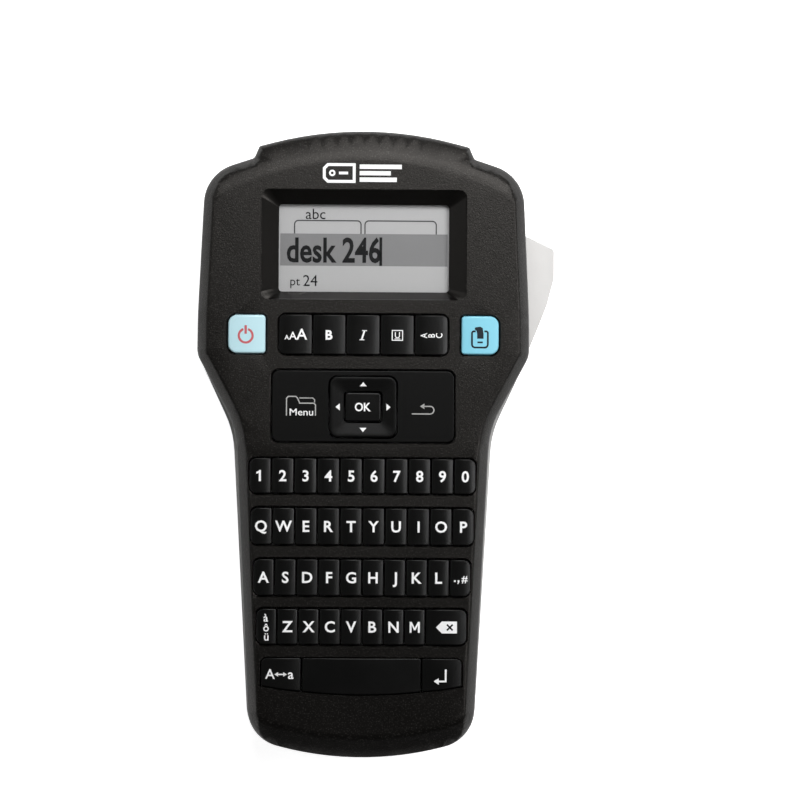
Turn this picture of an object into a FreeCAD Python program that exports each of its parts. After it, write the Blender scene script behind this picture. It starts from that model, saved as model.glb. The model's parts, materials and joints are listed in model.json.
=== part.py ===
"""Hand-held label maker lying on its back: X to the right, Y towards the label exit, Z out of the keyboard face."""

import FreeCAD
import Part
import math
import os

V = FreeCAD.Vector

# Driving dimensions, in millimetres
FACE_Z = 46.0  # keyboard face above the back plane
PART_Z = 30.0  # plane where the front and rear shells meet
WALL = 2.2
BAND_WIDTH = 3.4  # sloped band along both sides of the front shell, in plan
BAND_DEPTH = 5.0
EDGE_INSET = 4.5  # how far the flat back lies inside the outline
GAP = 0.35  # clearance round keys and covers
NEIGHBOUR_GAP = 0.22  # taken off each side where two keys stand side by side
LEVER_PIVOT = (40.0, 26.0)
PLATEN_AXIS = (23.4, 60.0)
MOTOR_AXIS = (33.0, 39.5)
MODULE = 0.5
PINION_TEETH = 14
IDLER_TEETH = 36
IDLER_SMALL_TEETH = 14
PLATEN_TEETH = 32
RIBBON_TEETH = 36
SCREW_SPOTS = [(27.0, 92.0), (38.5, 14.0), (27.5, -90.0)]

# Half outlines seen from the front: x, y, corner radius, from the hood's apex round to the toe's apex.
# A negative radius marks an inside corner.
FRONT_HALF = [(0.0, 107.3, 118.0), (34.6, 98.2, 1.0), (36.3, 94.3, -1.5), (52.4, 88.95, 13.5), (54.6, 42.0, 175.0),
              (54.7, 29.4, 8.0), (41.8, 5.5, -32.0), (37.0, -96.9, 13.0), (0.0, -106.6, 106.0)]
REAR_HALF = [(0.0, 107.3, 118.0), (34.6, 98.2, 3.6), (37.0, 94.1, -4.2), (52.4, 88.95, 13.5), (54.6, 42.0, 175.0),
             (54.7, 29.4, 8.0), (42.9, 4.0, -32.0), (37.4, -96.9, 13.0), (0.0, -106.6, 106.0)]

# Keyboard: each row's half width, top and bottom edge of its slot
ROWS = {"digits": (37.4, -4.1, -16.3), "q": (36.9, -20.4, -33.1), "a": (35.9, -37.2, -49.8), "z": (34.8, -53.5, -65.8)}
SPACE_ROW = (33.3, -69.6, -84.0)
SPACE_ARC_R = 195.0  # the last row's lower edge is an arc
SPACE_ARC_LOW = -82.2
FORMAT_ROW = (28.0, 43.0, 29.3)
NAV_ROW = (30.2, 24.7, 0.6)
BLUE_KEY = (31.8, 44.7, 42.8, 29.5)
KEY_BOTTOM = 39.4
KEY_TOP = 46.9
BLUE_TOP = 47.3
ROW_END_R = 2.3  # corner radius at a row's ends, and between two keys
KEY_R = 0.5
LETTER_CROWN = 9.0  # radius of the arc across a cap's top
BACKSPACE_CROWN = 22.0
SHIFT_CROWN = 24.0
SPACE_CROWN = 150.0
FORMAT_CROWN = 16.0
BLUE_CROWN = 30.0
FLANGE_Z = (41.4, 43.2)
FLANGE = 0.8


def box(x0, x1, y0, y1, z0, z1):
    return Part.makeBox(x1 - x0, y1 - y0, z1 - z0, V(x0, y0, z0))


def rod(x, y, z0, z1, r):
    return Part.makeCylinder(r, z1 - z0, V(x, y, z0))


def cross_rod(x0, x1, y, z, r):
    """Cylinder along X."""
    return Part.makeCylinder(r, x1 - x0, V(x0, y, z), V(1, 0, 0))


def fuse(shapes):
    return shapes[0].multiFuse(shapes[1:]).removeSplitter() if len(shapes) > 1 else shapes[0]


def mirrored(half):
    """Closed corner list from a right half that starts and ends on the centre line, anticlockwise."""
    left = [(-x, y, r) for x, y, r in half[1:-1]]
    return list(reversed(half)) + left


def wire(corners, inset=0.0, z=0.0):
    """Closed wire of straight sides and tangent arcs round corners, every side moved inwards by inset."""
    n = len(corners)
    sides = []
    for i in range(n):
        a = corners[i]
        b = corners[(i + 1) % n]
        length = math.hypot(b[0] - a[0], b[1] - a[1])
        ux = (b[0] - a[0]) / length
        uy = (b[1] - a[1]) / length
        sides.append((a[0] - uy * inset, a[1] + ux * inset, ux, uy))
    arcs = []
    for i in range(n):
        px, py, ux, uy = sides[i - 1]
        qx, qy, wx, wy = sides[i]
        cross = ux * wy - uy * wx
        t = ((qx - px) * wy - (qy - py) * wx) / cross
        cx = px + ux * t
        cy = py + uy * t
        turn = math.atan2(cross, ux * wx + uy * wy)
        r = abs(corners[i][2]) - inset if corners[i][2] > 0 else abs(corners[i][2]) + inset
        r = max(r, 0.3)
        cut = r * math.tan(abs(turn) / 2)
        bow = r / math.cos(turn / 2) - r
        mx = wx - ux
        my = wy - uy
        m = math.hypot(mx, my)
        arcs.append((V(cx - ux * cut, cy - uy * cut, z), V(cx + mx / m * bow, cy + my / m * bow, z),
                     V(cx + wx * cut, cy + wy * cut, z)))
    edges = []
    for i in range(n):
        edges.append(Part.Arc(*arcs[i]).toShape())
        start = arcs[i][2]
        end = arcs[(i + 1) % n][0]
        if start.distanceToPoint(end) > 1e-4:
            edges.append(Part.makeLine(start, end))
    return Part.Wire(edges)


def prism(corners, z0, z1, inset=0.0):
    return Part.Face(wire(corners, inset, z0)).extrude(V(0, 0, z1 - z0))


def rounded(x0, x1, y0, y1, radii):
    """Corner list of a rectangle with radii for its lower left, lower right, upper right and upper left corners."""
    a, b, c, d = radii
    return [(x0, y0, a), (x1, y0, b), (x1, y1, c), (x0, y1, d)]


def stack(corners, levels):
    """Solid through the outline at several heights, with (z, inset) for each level."""
    slabs = []
    for (z0, i0), (z1, i1) in zip(levels, levels[1:]):
        if abs(i0 - i1) < 1e-6:
            slabs.append(prism(corners, z0, z1, i0))
        else:
            slabs.append(Part.makeLoft([wire(corners, i0, z0), wire(corners, i1, z1)], True, True))
    return fuse(slabs)


def dome_limit(centre_y, radius, top, slope, soft):
    """Turned solid under a flat top that falls away outside radius at the given slope, with a soft crease."""
    far = 140.0
    p0 = V(0, centre_y, -10)
    p1 = V(far, centre_y, -10)
    p2 = V(far, centre_y, top - (far - radius) * slope)
    p3 = V(radius + soft, centre_y, top - soft * slope)
    mid = V(radius, centre_y, top - soft * slope / 4)
    p4 = V(radius - soft, centre_y, top)
    p5 = V(0, centre_y, top)
    edges = [Part.makeLine(p0, p1), Part.makeLine(p1, p2), Part.makeLine(p2, p3), Part.Arc(p3, mid, p4).toShape(),
             Part.makeLine(p4, p5), Part.makeLine(p5, p0)]
    return Part.Face(Part.Wire(edges)).revolve(V(0, centre_y, 0), V(0, 0, 1), 360)


def hood_and_toe(solid, drop):
    """Trims a solid to the sloped hood and the steeper toe, both lowered by drop."""
    solid = solid.common(dome_limit(-10.0, 105.0, FACE_Z - drop, 0.375, 2.0))
    toe = box(-80, 80, -130, -60, -20, 80).cut(dome_limit(3.0, 99.0, FACE_Z - drop, 0.72, 1.2))
    return solid.cut(toe)


def export(shape, name):
    shape.exportStep("parts/" + name + ".step")


FRONT = mirrored(FRONT_HALF)
REAR = mirrored(REAR_HALF)
BOSSES = [(s * x, y) for x, y in SCREW_SPOTS for s in (-1, 1)]
os.makedirs("parts", exist_ok=True)


# Keys: plan corners for every key, worked out from the rows
def plan_key(x0, x1, y0, y1, radii=(0.6, 0.6, 0.6, 0.6)):
    return rounded(x0, x1, y0, y1, radii)


def row_keys(row, count, spans):
    """Plan corners of the keys of a row of equal places; each span is (first place, places)."""
    half, top, bottom = row
    pitch = 2 * half / count
    plans = []
    for first, places in spans:
        x0 = -half + first * pitch
        x1 = x0 + places * pitch
        end_left = first == 0
        end_right = first + places == count
        x0 += GAP if end_left else NEIGHBOUR_GAP
        x1 -= GAP if end_right else NEIGHBOUR_GAP
        left = ROW_END_R if end_left else KEY_R
        right = ROW_END_R if end_right else KEY_R
        plans.append(plan_key(x0, x1, bottom + GAP, top - GAP, (left, right, right, left)))
    return plans


def crowned_block(x0, x1, y0, y1, top, crown):
    """Block whose upper face is part of a cylinder along Y."""
    half_x = (x1 - x0) / 2
    side = top - crown + math.sqrt(crown ** 2 - half_x ** 2)
    a = V(x0, y0, KEY_BOTTOM - 1)
    b = V(x1, y0, KEY_BOTTOM - 1)
    c = V(x1, y0, side)
    d = V(x0, y0, side)
    arch = Part.Arc(c, V(x0 + half_x, y0, top), d).toShape()
    outline = Part.Wire([Part.makeLine(a, b), Part.makeLine(b, c), arch, Part.makeLine(d, a)])
    return Part.Face(outline).extrude(V(0, y1 - y0, 0))


def key_solid(corners, top=KEY_TOP, crown=None, soft=0.35, arc=False):
    """One key: a straight body, a crowned or flat top with softened edges, and flanges under the face."""
    x0 = min(c[0] for c in corners)
    x1 = max(c[0] for c in corners)
    y0 = min(c[1] for c in corners)
    y1 = max(c[1] for c in corners)
    body = prism(corners, KEY_BOTTOM, top + 0.02)
    if arc:
        disc = rod(0, SPACE_ARC_LOW + GAP + SPACE_ARC_R, KEY_BOTTOM - 1, top + 1, SPACE_ARC_R)
        body = body.common(disc)
        y0 = max(y0, SPACE_ARC_LOW + GAP)
    if crown:
        body = body.common(crowned_block(x0 - 1, x1 + 1, y0 - 1, y1 + 1, top, crown))
    else:
        body = body.common(box(x0 - 1, x1 + 1, y0 - 1, y1 + 1, KEY_BOTTOM - 1, top))
    rim = [e for e in body.Edges if e.BoundBox.ZMin > top - 2.6 and
           (e.BoundBox.ZLength < 0.05 or e.BoundBox.ZMin > top - 1.6)]
    body = body.makeFillet(soft, rim)
    lip = 0.3 if arc else 0.0
    flange = box(x0 + 2.2, x1 - 2.2, y0 - FLANGE + lip, y1 + FLANGE, FLANGE_Z[0], FLANGE_Z[1])
    return body.fuse(flange).removeSplitter()


digit_plans = row_keys(ROWS["digits"], 10, [(i, 1) for i in range(10)])
q_plans = row_keys(ROWS["q"], 10, [(i, 1) for i in range(10)])
a_plans = row_keys(ROWS["a"], 10, [(i, 1) for i in range(10)])
z_plans = row_keys(ROWS["z"], 10, [(i, 1) for i in range(8)] + [(8, 2)])
digit_names = ["digit_%d_key" % ((i + 1) % 10) for i in range(10)]
plans = dict(zip(digit_names, digit_plans))
for name, plan in plans.items():
    export(key_solid(plan, crown=LETTER_CROWN), name)
export(Part.makeCompound([key_solid(p, crown=LETTER_CROWN) for p in q_plans]), "letter_keys_q_row")
export(Part.makeCompound([key_solid(p, crown=LETTER_CROWN) for p in a_plans[:9]]), "letter_keys_a_row")
export(key_solid(a_plans[9], crown=LETTER_CROWN), "punctuation_key")
export(Part.makeCompound([key_solid(p, crown=LETTER_CROWN) for p in z_plans[1:8]]), "letter_keys_z_row")
export(key_solid(z_plans[0], crown=LETTER_CROWN), "accent_key")
export(key_solid(z_plans[8], crown=BACKSPACE_CROWN), "backspace_key")

half, top, bottom = SPACE_ROW
SPACE_EDGE = 19.7
caps_plan = plan_key(-half + GAP, -SPACE_EDGE - NEIGHBOUR_GAP, bottom, top - GAP, (KEY_R, KEY_R, KEY_R, 2.0))
enter_plan = [(-x, y, r) for x, y, r in reversed(caps_plan)]
space_plan = plan_key(-SPACE_EDGE + NEIGHBOUR_GAP, SPACE_EDGE - NEIGHBOUR_GAP, bottom, top - GAP)
caps_body = key_solid(caps_plan, crown=SHIFT_CROWN, arc=True)
export(caps_body, "caps_key")
export(key_solid(space_plan, crown=SPACE_CROWN, arc=True), "space_bar")
export(caps_body.mirror(V(0, 0, 0), V(1, 0, 0)), "enter_key")

half, top, bottom = FORMAT_ROW
format_names = ["size_key", "bold_key", "italic_key", "border_key", "symbol_key"]
format_edges = [-half, -16.7, -5.7, 5.5, 16.7, half]
format_plans = []
for i in range(5):
    left = 1.8 if i == 0 else KEY_R
    right = 1.8 if i == 4 else KEY_R
    x0 = format_edges[i] + (GAP if i == 0 else NEIGHBOUR_GAP)
    x1 = format_edges[i + 1] - (GAP if i == 4 else NEIGHBOUR_GAP)
    format_plans.append(plan_key(x0, x1, bottom + GAP, top - GAP, (left, right, right, left)))
for name, plan in zip(format_names, format_plans):
    export(key_solid(plan, crown=FORMAT_CROWN), name)

x_in, x_out, top, bottom = BLUE_KEY
print_plan = plan_key(x_in + GAP, x_out - GAP, bottom + GAP, top - GAP, (1.2, 3.0, 3.0, 1.2))
power_plan = plan_key(-x_out + GAP, -x_in - GAP, bottom + GAP, top - GAP, (3.0, 1.2, 1.2, 3.0))
export(key_solid(print_plan, top=BLUE_TOP, crown=BLUE_CROWN, soft=0.7), "print_key")
export(key_solid(power_plan, top=BLUE_TOP, crown=BLUE_CROWN, soft=0.7), "power_key")

# Four-way ring with the OK key in its middle and a rocker for menu and back round it
half, top, bottom = NAV_ROW
RING = (10.9, 9.9)  # half width and half height of the ring
RING_RIM = 0.9
HUB_INSET = 0.6
HUB_Z = (38.6, 40.0)
RING_GAP = 0.55
RING_Y = (top + bottom) / 2 - 0.2
RING_TOP = 47.3
DISH_DEPTH = 0.6
OK_TOP = 47.4
OK_HALF = (5.8, 4.7)
OK_GAP = 0.6
ROCKER_TOP = 46.3


def square(half_x, half_y, r):
    """Corner list of a rounded rectangle centred on the ring."""
    return rounded(-half_x, half_x, RING_Y - half_y, RING_Y + half_y, (r, r, r, r))


def top_edges(solid, z):
    return [e for e in solid.Edges if e.BoundBox.ZMin > z - 0.05]


def nav_ring():
    """Square ring with a softened rim and an upper face dished towards the OK key."""
    ring = prism(square(RING[0], RING[1], 2.6), KEY_BOTTOM + 1.4, RING_TOP)
    ring = ring.makeFillet(0.45, top_edges(ring, RING_TOP))
    hole = square(OK_HALF[0] + OK_GAP, OK_HALF[1] + OK_GAP, 1.4)
    low = RING_TOP - DISH_DEPTH
    rim = square(RING[0] - RING_RIM, RING[1] - RING_RIM, 2.0)
    dish = Part.makeLoft([wire(hole, 0.0, low), wire(rim, 0.0, RING_TOP + 0.001)], True, True)
    return ring.cut(dish).cut(prism(hole, KEY_BOTTOM, RING_TOP + 1))


def menu_back_rocker():
    """Flush panel that rocks about the ring: pressed on its left for the menu and on its right to go back."""
    panel = prism(rounded(-half + GAP, half - GAP, bottom + GAP, top - GAP, (2.4, 2.4, 2.4, 2.4)),
                  KEY_BOTTOM + 0.2, ROCKER_TOP)
    panel = panel.makeFillet(0.35, top_edges(panel, ROCKER_TOP))
    tab = box(-8, 8, bottom + GAP - FLANGE, top - GAP + FLANGE, FLANGE_Z[0], FLANGE_Z[1])
    opening = prism(square(RING[0] + RING_GAP, RING[1] + RING_GAP, 3.1), KEY_BOTTOM - 1, ROCKER_TOP + 1)
    return panel.fuse(tab).cut(opening).removeSplitter()


export(nav_ring(), "nav_ring")
export(menu_back_rocker(), "menu_back_rocker")
ok_body = prism(square(OK_HALF[0], OK_HALF[1], 1.0), KEY_BOTTOM, OK_TOP)
export(ok_body.makeFillet(0.5, top_edges(ok_body, OK_TOP)), "ok_key")
hub = prism(square(RING[0] - HUB_INSET, RING[1] - HUB_INSET, 1.4), *HUB_Z)
export(hub.cut(prism(square(OK_HALF[0] + 1, OK_HALF[1] + 1, 1.4), 38.0, 41.0)), "nav_hub")


# Front shell
SLOTS = []
for half, top, bottom in list(ROWS.values()) + [FORMAT_ROW, NAV_ROW]:
    SLOTS.append(rounded(-half, half, bottom, top, (2.6, 2.6, 2.6, 2.6)))
x_in, x_out, top, bottom = BLUE_KEY
SLOTS.append(rounded(x_in, x_out, bottom, top, (1.5, 3.3, 3.3, 1.5)))
SLOTS.append(rounded(-x_out, -x_in, bottom, top, (3.3, 1.5, 1.5, 3.3)))
DISPLAY_MOUTH = (-33.8, 33.8, 47.6, 83.9)
DISPLAY_FLOOR = (-28.0, 28.0, 50.3, 79.0)
FLOOR_Z = 41.5


def slot_cutter(corners):
    """Straight hole with a softened upper edge."""
    soft = 0.35
    hole = prism(corners, 37.0, FACE_Z + 1)
    flare = Part.makeLoft([wire(corners, 0.0, FACE_Z - soft), wire(corners, -soft - 0.1, FACE_Z + 0.1)], True, True)
    return hole.fuse(flare)


def space_slot():
    half, top, bottom = SPACE_ROW
    block = prism(rounded(-half, half, bottom, top, (0.5, 0.5, 2.4, 2.4)), 37.0, FACE_Z + 1)
    return block.common(rod(0, SPACE_ARC_LOW + SPACE_ARC_R, 30, 60, SPACE_ARC_R))


def band_levels(inset, lower):
    """Heights and insets of the side wall and the sloped band with two softened creases."""
    side_top = FACE_Z - BAND_DEPTH
    slope = BAND_WIDTH / BAND_DEPTH
    return [(PART_Z, inset), (side_top - 0.8 - lower, inset), (side_top + 0.6 - lower, inset + 0.6 * slope),
            (FACE_Z - 0.7 - lower, inset + BAND_WIDTH - 0.7 * slope), (FACE_Z - lower, inset + BAND_WIDTH + 0.5)]


def front_shell():
    outer = hood_and_toe(stack(FRONT, band_levels(0.0, 0.0)), 0.0)
    inner = hood_and_toe(stack(FRONT, band_levels(WALL, WALL)), WALL)
    shell = outer.cut(inner)
    x0, x1, y0, y1 = DISPLAY_MOUTH
    block = box(x0 - 2, x1 + 2, y0 - 2, y1 + 2, 38.6, FACE_Z - 1)
    bosses = [rod(x, y, PART_Z, FACE_Z - 1, 3.2) for x, y in BOSSES]
    shell = fuse([shell, block.common(outer)] + [b.common(outer) for b in bosses])
    mouth = rounded(x0, x1, y0, y1, (2.6, 2.6, 2.6, 2.6))
    f0, f1, g0, g1 = DISPLAY_FLOOR
    floor = rounded(f0, f1, g0, g1, (1.2, 1.2, 1.2, 1.2))
    shell = shell.cut(Part.makeLoft([wire(floor, 0, FLOOR_Z), wire(mouth, 0, FACE_Z + 0.001)], True, True))
    shell = shell.cut(prism(mouth, FACE_Z - 0.001, FACE_Z + 3))
    shell = shell.cut(prism(floor, 36, FLOOR_Z + 0.001))
    shell = shell.cut(box(f0 - 2, f1 + 2, g0 - 2, g1 + 2, 36, FLOOR_Z))
    for corners in SLOTS:
        shell = shell.cut(slot_cutter(corners))
    shell = shell.cut(space_slot())
    for x, y in BOSSES:
        shell = shell.cut(rod(x, y, PART_Z - 1, 37.2, 1.3))
    return shell.removeSplitter()


export(front_shell(), "front_shell")
f0, f1, g0, g1 = DISPLAY_FLOOR
export(box(f0 - 1.9, f1 + 1.9, g0 - 1.9, g1 + 1.9, 40.1, FLOOR_Z), "display_window")


# Display under the window
lcd_ring = box(-31, 31, 47.6, 81.6, 36.0, 38.4).cut(box(-29.2, 29.2, 49.4, 79.8, 37.2, 41))
export(lcd_ring.cut(box(-27, 27, 51, 78, 35, 40)), "lcd_frame")
export(box(-29, 29, 49.6, 79.6, 37.2, 39.8), "lcd_glass")


# Circuit board and keypad mat
def main_board():
    board = prism(FRONT, 34.0, 35.6, 5.0).common(box(-60, 60, -88, 90, 30, 40))
    for x, y in BOSSES:
        board = board.cut(rod(x, y, 33, 37, 3.6))
    chips = [box(-12, 2, 4, 18, 32.8, 34.0), box(8, 17, -12, -4, 33.0, 34.0), box(-26, -16, -30, -22, 33.2, 34.0)]
    return fuse([board] + chips)


export(main_board(), "main_board")
key_centres = []
for plan in list(plans.values()) + q_plans + a_plans + z_plans + [caps_plan, enter_plan] + format_plans:
    xs = [c[0] for c in plan]
    key_centres.append(((min(xs) + max(xs)) / 2, max(min(c[1] for c in plan) + 5.7, -75.6)))
for plan in (print_plan, power_plan):
    key_centres.append(((plan[0][0] + plan[1][0]) / 2, (plan[0][1] + plan[2][1]) / 2))
key_centres += [(-20.8, RING_Y), (0.0, RING_Y), (20.8, RING_Y), (-12.0, -75.6), (0.0, -75.6), (12.0, -75.6)]


def keypad_mat():
    """Rubber sheet with one collapsing dome under each key."""
    mat = prism(FRONT, 35.8, 37.0, 5.6).common(box(-60, 60, -84.5, 45.0, 30, 40))
    for x, y in BOSSES:
        mat = mat.cut(rod(x, y, 33, 39, 3.8))
    domes = [Part.makeCone(2.6, 1.8, 2.2, V(x, y, 37.0)) for x, y in key_centres]
    return fuse([mat] + domes)


export(keypad_mat(), "keypad_mat")


# Rear shell with its door and cover openings, lever slot and bosses
DOOR = (-43.0, 20.5, 23.6, 85.0)
HINGE_Y = 24.95
HINGE_Z = 1.3
COVER_HALF = 22.8
COVER_Y = -56.7
ARCH = (-33.0, 9.0, 23.0)  # finger arch: centre y, depth, half length
HEEL_RAIL = 1.0


def arch_rod(grow):
    centre, depth, half_len = ARCH
    radius = (half_len ** 2 + depth ** 2) / (2 * depth)
    return cross_rod(-90, 90, centre, depth - radius, radius + grow)


def rear_outer():
    levels = [(0.0, EDGE_INSET), (0.5, 3.2), (1.4, 2.0), (3.0, 1.0), (6.0, 0.35), (10.0, 0.0), (PART_Z, 0.0)]
    return stack(REAR, levels).cut(arch_rod(0.0))


def rear_shell(outer):
    inner = stack(REAR, [(WALL, EDGE_INSET + 1.0), (4.0, WALL + 1.2), (9.0, WALL), (PART_Z + 1, WALL)])
    inner = inner.cut(arch_rod(WALL))
    shell = outer.cut(inner)
    extra = []
    for x, y in BOSSES:
        extra.append(rod(x, y, 0.0, PART_Z, 3.0))
        extra.append(rod(x, y, 0.0, 6.0, 3.6))
    for x0, x1 in ((-24.6, -23.2), (23.2, 24.6)):
        extra.append(box(x0, x1, -91.0, -57.5, WALL - 0.2, 24.6))
    extra.append(rod(PLATEN_AXIS[0], PLATEN_AXIS[1], 1.0, 5.0, 2.5))
    extra.append(rod(LEVER_PIVOT[0], LEVER_PIVOT[1], 1.0, 8.4, 3.2))
    extra.append(box(38.3, 39.5, 53.0, 59.0, 1.0, 21.5))
    extra.append(box(22.0, 35.0, 81.3, 82.6, 1.0, 12.0))
    extra.append(box(22.0, 35.0, 86.4, 87.7, 1.0, 12.0))
    shell = fuse([shell] + [e.common(outer) for e in extra])
    x0, x1, y0, y1 = DOOR
    shell = shell.cut(prism(rounded(x0, x1, y0, y1, (0.5, 0.5, 2.0, 2.0)), -1, 2.6))
    shell = shell.cut(cross_rod(x0 - 1.6, x1 + 1.6, HINGE_Y, HINGE_Z, 0.66))
    thumb = Part.makeSphere(7.0, V((x0 + x1) / 2, y1 + 2.0, -6.1))
    shell = shell.cut(thumb)
    shell = shell.cut(box(-COVER_HALF, COVER_HALF, -130, COVER_Y, -1, 2.6))
    shell = shell.cut(box(-COVER_HALF - 1, COVER_HALF + 1, -130, COVER_Y, HEEL_RAIL, 2.6))
    shell = shell.cut(box(46, 60, 28.6, 71.3, 8.4, 22.2))
    shell = shell.cut(box(18.3, 20.4, 90, 110, 4.6, 18.6))
    shell = shell.cut(Part.makeCylinder(3.2, 14, V(-14, 94, 25.6), V(0, 1, 0)))
    shell = shell.cut(rod(PLATEN_AXIS[0], PLATEN_AXIS[1], 3.0, 6.0, 1.06))
    shell = shell.cut(rod(LEVER_PIVOT[0], LEVER_PIVOT[1], 3.0, 9.0, 1.5))
    for x, y in BOSSES:
        shell = shell.cut(rod(x, y, -1, PART_Z + 1, 1.6))
        shell = shell.cut(rod(x, y, -1, 3.2, 2.6))
    return shell.removeSplitter()


outer = rear_outer()
export(rear_shell(outer), "rear_shell")


def cassette_door():
    x0, x1, y0, y1 = DOOR
    plate = prism(rounded(x0 + 0.3, x1 - 0.3, HINGE_Y, y1 - 0.3, (0.4, 0.4, 1.8, 1.8)), 0.3, 2.3)
    barrel = cross_rod(x0 + 0.3, x1 - 0.3, HINGE_Y, HINGE_Z, 1.0)
    pins = cross_rod(x0 - 1.2, x1 + 1.2, HINGE_Y, HINGE_Z, 0.6)
    ribs = [box(x0 + 8, x1 - 8, y, y + 1.0, 2.3, 3.0) for y in (38.0, 52.0, 66.0)]
    door = fuse([plate, barrel, pins] + ribs)
    return door.cut(Part.makeSphere(7.0, V((x0 + x1) / 2, y1 + 2.0, -6.1)))


export(cassette_door(), "cassette_door")


def battery_cover():
    narrow = box(-COVER_HALF + 0.3, COVER_HALF - 0.3, -130, COVER_Y - 0.3, 0.3, 2.3)
    wide = box(-COVER_HALF - 0.7, COVER_HALF + 0.7, -130, COVER_Y - 0.3, HEEL_RAIL + 0.25, 2.3)
    cover = outer.common(narrow.fuse(wide))
    grooves = [box(-9, 9, y, y + 0.8, 0.0, 0.7) for y in (-66.0, -68.0, -70.0, -72.0, -74.0)]
    for groove in grooves:
        cover = cover.cut(groove)
    return cover.removeSplitter()


export(battery_cover(), "battery_cover")

screws = []
for x, y in BOSSES:
    screw = rod(x, y, 1.2, 3.2, 2.4).fuse(rod(x, y, 3.2, 36.0, 1.3))
    slot = box(x - 1.5, x + 1.5, y - 0.3, y + 0.3, 1.0, 2.2).fuse(box(x - 0.3, x + 0.3, y - 1.5, y + 1.5, 1.0, 2.2))
    screws.append(screw.cut(slot))
export(Part.makeCompound(screws), "case_screws")


# Power inlet on the board's end
def power_jack():
    body = box(-18.5, -9.5, 87.0, 97.6, 21.1, 30.6)
    body = body.cut(Part.makeCylinder(2.75, 9.5, V(-14, 98, 25.6), V(0, -1, 0)))
    pin = Part.makeCylinder(0.85, 8.6, V(-14, 88.5, 25.6), V(0, 1, 0))
    legs = [box(-17, -16, 89, 89.8, 30.6, 34.0), box(-12, -11, 89, 89.8, 30.6, 34.0)]
    return fuse([body, pin] + legs)


export(power_jack(), "power_jack")

# Six cells in two layers of three, lying across the handle
CELL_R = 5.2
CELL_Y = [-63.5, -74.3, -85.1]
CELL_Z = [8.2, 19.1]
cells = []
contacts = []
for row, z in enumerate(CELL_Z):
    for col, y in enumerate(CELL_Y):
        flip = 1 if (row + col) % 2 else -1
        can = cross_rod(-21.6, 21.6, y, z, CELL_R)
        nub = cross_rod(21.6, 22.5, y, z, 1.8) if flip > 0 else cross_rod(-22.5, -21.6, y, z, 1.8)
        cells.append(can.fuse(nub))
        for side in (-1, 1):
            x0, x1 = sorted((side * 22.8, side * 23.2))
            contacts.append(box(x0, x1, y - 4.0, y + 4.0, z - 4.0, z + 4.0))
export(Part.makeCompound(cells), "battery_cells")
export(Part.makeCompound(contacts), "battery_contacts")

# Mechanism frame: a plate on four posts above the cassette
PLATE_Z = (22.4, 24.0)
GEAR_LOW = (24.5, 26.3)
GEAR_HIGH = (26.6, 28.5)


def circle_meeting(a, ra, b, rb):
    """The right-hand point at distance ra from a and rb from b."""
    dx = b[0] - a[0]
    dy = b[1] - a[1]
    d = math.hypot(dx, dy)
    along = (ra ** 2 - rb ** 2 + d ** 2) / (2 * d)
    across = math.sqrt(ra ** 2 - along ** 2)
    return (a[0] + (dx * along + dy * across) / d, a[1] + (dy * along - dx * across) / d)


def pitch_r(teeth):
    return MODULE * teeth / 2


IDLER_AXIS = circle_meeting(MOTOR_AXIS, pitch_r(PINION_TEETH) + pitch_r(IDLER_TEETH),
                            PLATEN_AXIS, pitch_r(IDLER_SMALL_TEETH) + pitch_r(PLATEN_TEETH))
RIBBON_ANGLE = math.radians(230.0)
RIBBON_REACH = pitch_r(PLATEN_TEETH) + pitch_r(RIBBON_TEETH)
RIBBON_AXIS = (PLATEN_AXIS[0] + RIBBON_REACH * math.cos(RIBBON_ANGLE),
               PLATEN_AXIS[1] + RIBBON_REACH * math.sin(RIBBON_ANGLE))


def gear(teeth, z0, z1, phase, centre):
    """Involute spur gear of 25 degree pressure angle, thinned for backlash; phase is a tooth's direction."""
    pitch = pitch_r(teeth)
    base = pitch * math.cos(math.radians(25))
    tip = pitch + 0.9 * MODULE
    root = pitch - 1.15 * MODULE
    start = max(base, root + 0.05)

    def roll(r):
        """Angle that the involute has turned through at radius r."""
        a = math.acos(min(1.0, base / r))
        return math.tan(a) - a

    half_tooth = math.pi / (2 * teeth) - 0.05 / pitch
    step = 2 * math.pi / teeth

    def point(r, angle):
        return V(centre[0] + r * math.cos(angle), centre[1] + r * math.sin(angle), z0)

    edges = []
    radii = [start, (start + tip) / 2, tip]
    for i in range(teeth):
        mid = phase + i * step
        rise = [point(r, mid - half_tooth - roll(pitch) + roll(r)) for r in radii]
        fall = [point(r, mid + half_tooth + roll(pitch) - roll(r)) for r in reversed(radii)]
        foot_angle = half_tooth + roll(pitch) - roll(start)
        before = point(root, mid - foot_angle)
        after = point(root, mid + foot_angle)
        edges += [Part.makeLine(before, rise[0]), Part.Arc(*rise).toShape(), Part.makeLine(rise[2], fall[0]),
                  Part.Arc(*fall).toShape(), Part.makeLine(fall[2], after)]
        edges.append(Part.Arc(after, point(root, mid + step / 2), point(root, mid + step - foot_angle)).toShape())
    return Part.Face(Part.Wire(edges)).extrude(V(0, 0, z1 - z0))


def meshing_phase(a, teeth_a, phase_a, b, teeth_b):
    """Tooth direction of gear b that puts its gap where gear a has a tooth, and the other way round."""
    line = math.atan2(b[1] - a[1], b[0] - a[0])
    step_a = 2 * math.pi / teeth_a
    step_b = 2 * math.pi / teeth_b
    return line + math.pi - step_b * (0.5 - (line - phase_a) / step_a)


PLATEN_PHASE = 0.0
idler_phase = meshing_phase(PLATEN_AXIS, PLATEN_TEETH, PLATEN_PHASE, IDLER_AXIS, IDLER_SMALL_TEETH)
pinion_phase = meshing_phase(IDLER_AXIS, IDLER_TEETH, idler_phase, MOTOR_AXIS, PINION_TEETH)
ribbon_phase = meshing_phase(PLATEN_AXIS, PLATEN_TEETH, PLATEN_PHASE, RIBBON_AXIS, RIBBON_TEETH)


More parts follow.
